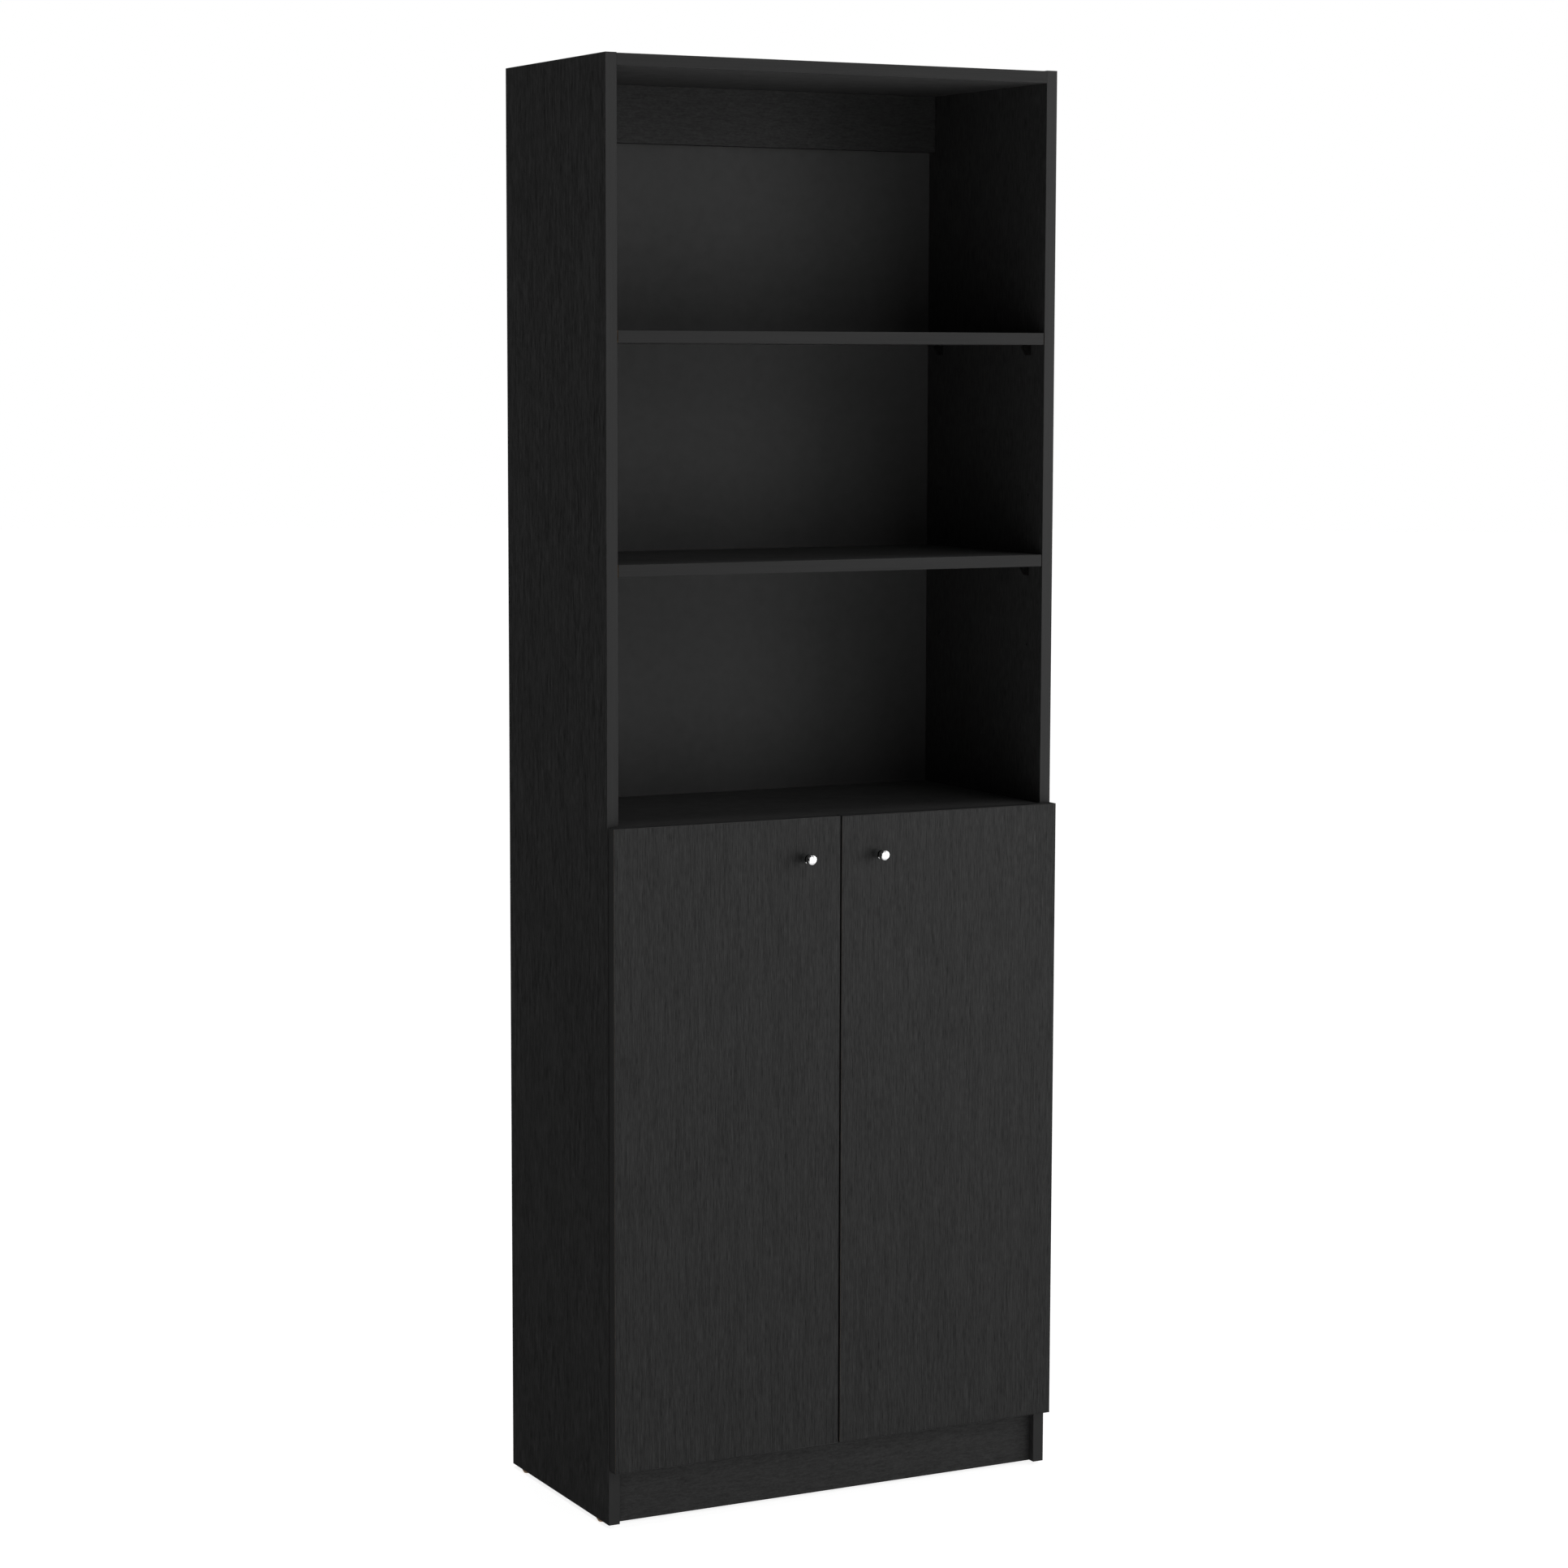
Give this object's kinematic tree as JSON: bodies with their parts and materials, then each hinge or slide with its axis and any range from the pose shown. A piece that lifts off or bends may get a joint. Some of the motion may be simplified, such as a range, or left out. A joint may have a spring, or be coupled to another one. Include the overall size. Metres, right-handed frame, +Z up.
{
  "type": "bookcase with cabinet doors",
  "caption": "Tall dark bookcase: open bays with loose shelves over a low cabinet whose overlay doors turn on concealed cup hinges.",
  "frame": {"origin": "on the floor, under the middle of the whole box", "axes": "+Z up, the doors face -Y, +X to the right seen from the front"},
  "size_m": [0.625, 0.3416, 1.8],
  "materials": {
    "dark_board": "matt dark wood-grain foil on particle board",
    "back_board": "smooth matt painted fibreboard",
    "edge_band": "plain satin edging",
    "support_plastic": "dark brown moulded plastic",
    "glide_plastic": "brown moulded plastic",
    "chrome": "polished chrome plate",
    "steel": "nickel-plated steel",
    "zinc": "bright die-cast zinc",
    "dowel_wood": "plain beech"
  },
  "bodies": {
    "carcass": {"left_side_panel": "dark_board", "right_side_panel": "dark_board", "top_panel": "dark_board", "fixed_shelf": "dark_board", "cabinet_floor": "dark_board", "plinth_board": "dark_board", "top_back_rail": "dark_board", "upper_shelf": "dark_board", "lower_shelf": "dark_board", "cabinet_shelf": "dark_board", "upper_shelf_supports": "support_plastic", "lower_shelf_supports": "support_plastic", "cabinet_shelf_supports": "support_plastic", "back_panel": "back_board", "carcass_edge_bands": "edge_band", "shelf_edge_bands": "edge_band", "floor_glides": "glide_plastic", "glide_nails": "steel", "cam_locks": "zinc", "cam_bolts": "steel", "wooden_dowels": "dowel_wood", "hinge_plate_screws": "steel", "hinge_arm_screws": "steel", "hinge_arm_pins": "steel", "upper_left_hinge_plate": "steel", "upper_left_hinge_arm": "steel", "lower_left_hinge_plate": "steel", "lower_left_hinge_arm": "steel", "upper_right_hinge_plate": "steel", "upper_right_hinge_arm": "steel", "lower_right_hinge_plate": "steel", "lower_right_hinge_arm": "steel"},
    "left_outer_links": {"upper_left_outer_link": "steel", "lower_left_outer_link": "steel"},
    "left_door": {"left_door": "dark_board", "left_door_edge_bands": "edge_band", "left_knob": "chrome", "left_knob_screw": "steel", "left_hinge_cups": "steel", "left_hinge_cup_pins": "steel", "left_hinge_cup_screws": "steel"},
    "left_inner_links": {"upper_left_inner_link": "steel", "lower_left_inner_link": "steel"},
    "right_outer_links": {"upper_right_outer_link": "steel", "lower_right_outer_link": "steel"},
    "right_door": {"right_door": "dark_board", "right_door_edge_bands": "edge_band", "right_knob": "chrome", "right_knob_screw": "steel", "right_hinge_cups": "steel", "right_hinge_cup_pins": "steel", "right_hinge_cup_screws": "steel"},
    "right_inner_links": {"upper_right_inner_link": "steel", "lower_right_inner_link": "steel"}
  },
  "joints": [
    {"name": "left_outer_link_turn", "type": "hinge", "parent": "carcass", "child": "left_outer_links", "pos_m": [-0.2811, -0.12375, 0.474], "axis": [0, 0, -1], "range_deg": [-36.14, 0]},
    {"name": "left_door_swing", "type": "hinge", "parent": "left_outer_links", "child": "left_door", "pos_m": [-0.3012, -0.13725, 0.474], "axis": [0, 0, -1], "range_deg": [0, 131.1]},
    {"name": "left_inner_link_turn", "type": "hinge", "parent": "carcass", "child": "left_inner_links", "pos_m": [-0.2793, -0.13725, 0.474], "axis": [0, 0, -1], "range_deg": [-36.14, 0]},
    {"name": "right_outer_link_turn", "type": "hinge", "parent": "carcass", "child": "right_outer_links", "pos_m": [0.2811, -0.12375, 0.474], "axis": [0, 0, 1], "range_deg": [-36.14, 0]},
    {"name": "right_door_swing", "type": "hinge", "parent": "right_outer_links", "child": "right_door", "pos_m": [0.3012, -0.13725, 0.474], "axis": [0, 0, 1], "range_deg": [0, 131.1]},
    {"name": "right_inner_link_turn", "type": "hinge", "parent": "carcass", "child": "right_inner_links", "pos_m": [0.2793, -0.13725, 0.474], "axis": [0, 0, 1], "range_deg": [-36.14, 0]}
  ],
  "couplings": [
    {"joint": "left_outer_link_turn", "follows": "left_door_swing", "ratio": -0.27536},
    {"joint": "left_inner_link_turn", "follows": "left_door_swing", "ratio": -0.27536},
    {"joint": "right_outer_link_turn", "follows": "right_door_swing", "ratio": -0.27536},
    {"joint": "right_inner_link_turn", "follows": "right_door_swing", "ratio": -0.27536}
  ]
}
